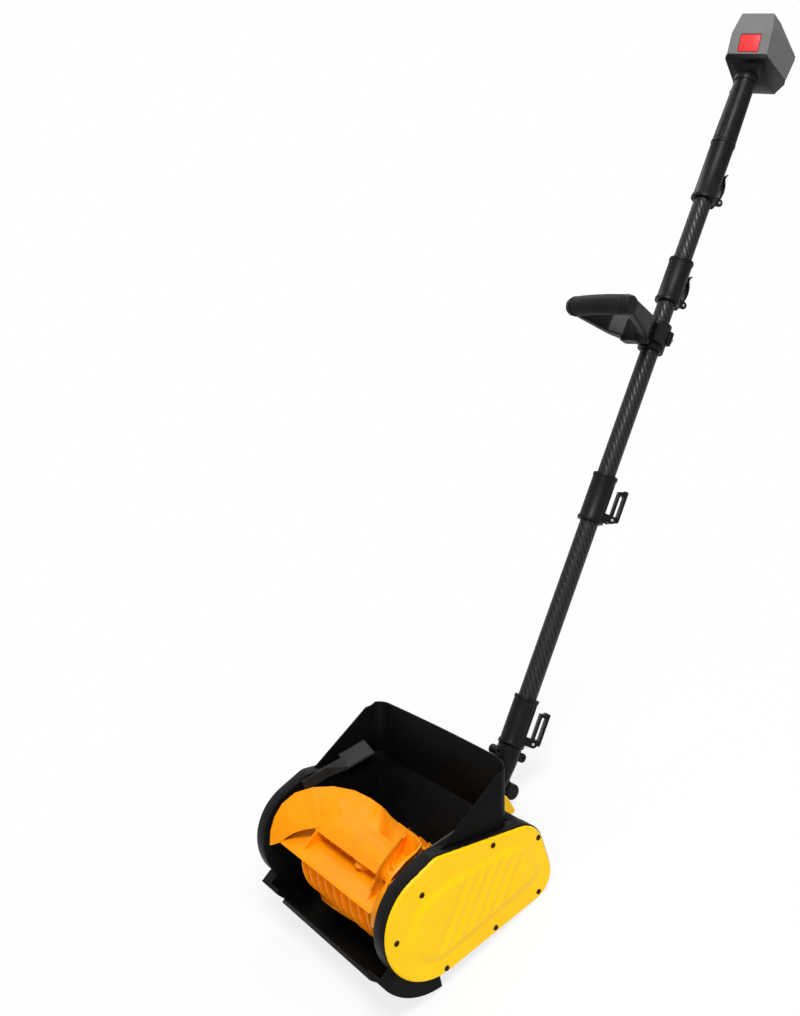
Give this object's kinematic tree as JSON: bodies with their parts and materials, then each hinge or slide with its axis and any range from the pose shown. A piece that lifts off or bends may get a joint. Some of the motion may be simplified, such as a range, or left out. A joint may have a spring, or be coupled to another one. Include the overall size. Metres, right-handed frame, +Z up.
{
  "type": "cordless snow blower",
  "caption": "Cordless snow blower: black scoop head with yellow side covers and orange auger, on a long leaning pole with D-handle, grip and battery.",
  "frame": {"origin": "middle of the scraper strip's flat pad, on the ground under the front of the head", "axes": "+X along the auger, +Y to the rear toward the person who holds it, +Z up"},
  "size_m": [0.338, 1.3706, 0.8845],
  "materials": {
    "black_moulding": "fine moulded satin black",
    "yellow_moulding": "smooth moulded yellow",
    "orange_moulding": "smooth moulded orange",
    "tube_finish": "glossy black with a diagonal twill pattern",
    "steel": "bright machined",
    "dark_screw": "blackened",
    "scraper": "tough black plastic",
    "aluminium": "machined",
    "belt_rubber": "matt rubber",
    "foam": "soft matt foam",
    "battery_grey": "satin grey",
    "signal_red": "smooth red",
    "board": "coated circuit board",
    "contacts": "plated"
  },
  "bodies": {
    "head": {"auger_trough": "black_moulding", "scoop_hood": "black_moulding", "snow_ledges": "black_moulding", "left_side_box": "black_moulding", "right_side_box": "black_moulding", "left_cover": "yellow_moulding", "right_cover": "yellow_moulding", "cover_screws": "dark_screw", "scraper_strip": "scraper", "scraper_screws": "dark_screw", "motor_housing": "black_moulding", "motor_can": "steel", "drive_belt": "belt_rubber", "idler_pin": "steel", "auger_bearings": "steel", "control_board": "board", "tilt_yoke": "yellow_moulding", "yoke_screws": "dark_screw", "tilt_bolt": "steel"},
    "auger": {"auger_shaft": "steel", "auger_rotor": "orange_moulding", "driven_pulley": "aluminium"},
    "motor_rotor": {"motor_shaft": "steel", "drive_pulley": "aluminium"},
    "idler": {"idler_roller": "steel"},
    "pole": {"neck_knuckle": "black_moulding", "pawl_pin": "steel", "pawl_spring": "steel", "lower_tube": "tube_finish", "middle_tube": "tube_finish", "upper_tube": "tube_finish", "lower_sleeve": "black_moulding", "middle_sleeve": "black_moulding", "upper_sleeve": "black_moulding", "grip_sleeve": "black_moulding", "lever_pins": "steel", "tube_joiners": "black_moulding"},
    "pedal": {"tilt_pawl": "black_moulding"},
    "lower_lever_arm": {"lower_lever": "black_moulding"},
    "middle_lever_arm": {"middle_lever": "black_moulding"},
    "upper_lever_arm": {"upper_lever": "black_moulding"},
    "grip_lever_arm": {"grip_lever": "black_moulding"},
    "d_handle": {"clamp_bracket": "black_moulding", "clamp_back": "black_moulding", "clamp_bolts": "steel", "d_frame": "black_moulding", "foam_grip": "foam"},
    "handle": {"grip_left": "black_moulding", "grip_right": "black_moulding", "trigger_pin": "steel", "trigger_switch": "black_moulding", "battery_seat": "black_moulding", "contact_block": "contacts"},
    "trigger_arm": {"trigger": "black_moulding"},
    "lock": {"lock_button": "black_moulding"},
    "battery": {"battery_case": "battery_grey"},
    "battery_catch": {"battery_button": "signal_red"}
  },
  "joints": [
    {"name": "auger_spin", "type": "hinge", "parent": "head", "child": "auger", "pos_m": [0, 0.03849, 0.09683], "axis": [1, 0, 0], "continuous": true},
    {"name": "motor_spin", "type": "hinge", "parent": "head", "child": "motor_rotor", "pos_m": [0, 0.18463, 0.0604], "axis": [1, 0, 0], "continuous": true},
    {"name": "idler_spin", "type": "hinge", "parent": "head", "child": "idler", "pos_m": [0, 0.10384, 0.04267], "axis": [1, 0, 0], "continuous": true},
    {"name": "pole_tilt", "type": "hinge", "parent": "head", "child": "pole", "pos_m": [0, 0.2486, 0.03127], "axis": [1, 0, 0], "range_deg": [-40, 30]},
    {"name": "pedal_press", "type": "hinge", "parent": "pole", "child": "pedal", "pos_m": [0, 0.28698, 0.05078], "axis": [1, 0, 0], "range_deg": [-5, 0], "stiffness_Nm_per_rad": 1, "springref_deg": 5.73},
    {"name": "lower_lever_open", "type": "hinge", "parent": "pole", "child": "lower_lever_arm", "pos_m": [0.01362, 0.34266, 0.07608], "axis": [0.8829, -0.2999, 0.3612], "range_deg": [-100, 0]},
    {"name": "middle_lever_open", "type": "hinge", "parent": "pole", "child": "middle_lever_arm", "pos_m": [0.01362, 0.61503, 0.30221], "axis": [0.8829, -0.2999, 0.3612], "range_deg": [-100, 0]},
    {"name": "upper_lever_open", "type": "hinge", "parent": "pole", "child": "upper_lever_arm", "pos_m": [0.00474, 0.88529, 0.53087], "axis": [0.9781, -0.1328, 0.16], "range_deg": [-100, 0]},
    {"name": "grip_lever_open", "type": "hinge", "parent": "pole", "child": "grip_lever_arm", "pos_m": [0.00474, 1.01993, 0.64265], "axis": [0.9781, -0.1328, 0.16], "range_deg": [-100, 0]},
    {"name": "d_handle_slide", "type": "slide", "parent": "pole", "child": "d_handle", "axis": [0, 0.7694, 0.6388], "range_m": [-0.2, 0.03]},
    {"name": "handle_swivel", "type": "hinge", "parent": "pole", "child": "handle", "pos_m": [0, 1.07801, 0.71986], "axis": [0, 0.7694, 0.6388], "range_deg": [-67, 23]},
    {"name": "trigger_pull", "type": "hinge", "parent": "handle", "child": "trigger_arm", "pos_m": [-0.00449, 1.15744, 0.77134], "axis": [0.9272, 0.2393, -0.2882], "range_deg": [-7, 0], "stiffness_Nm_per_rad": 0.3, "springref_deg": 5.73},
    {"name": "lock_press", "type": "slide", "parent": "handle", "child": "lock", "axis": [0.9272, 0.2393, -0.2882], "range_m": [0, 0.0025], "stiffness_N_per_m": 400, "springref_m": -0.002},
    {"name": "battery_slide", "type": "slide", "parent": "handle", "child": "battery", "axis": [0.3601, -0.7814, 0.5097], "range_m": [0, 0.12]},
    {"name": "catch_press", "type": "slide", "parent": "battery", "child": "battery_catch", "axis": [-0.3601, 0.7814, -0.5097], "range_m": [0, 0.0025], "stiffness_N_per_m": 400, "springref_m": -0.002}
  ],
  "couplings": [
    {"joint": "motor_spin", "follows": "auger_spin", "ratio": 2.7692},
    {"joint": "idler_spin", "follows": "auger_spin", "ratio": -4.3}
  ]
}
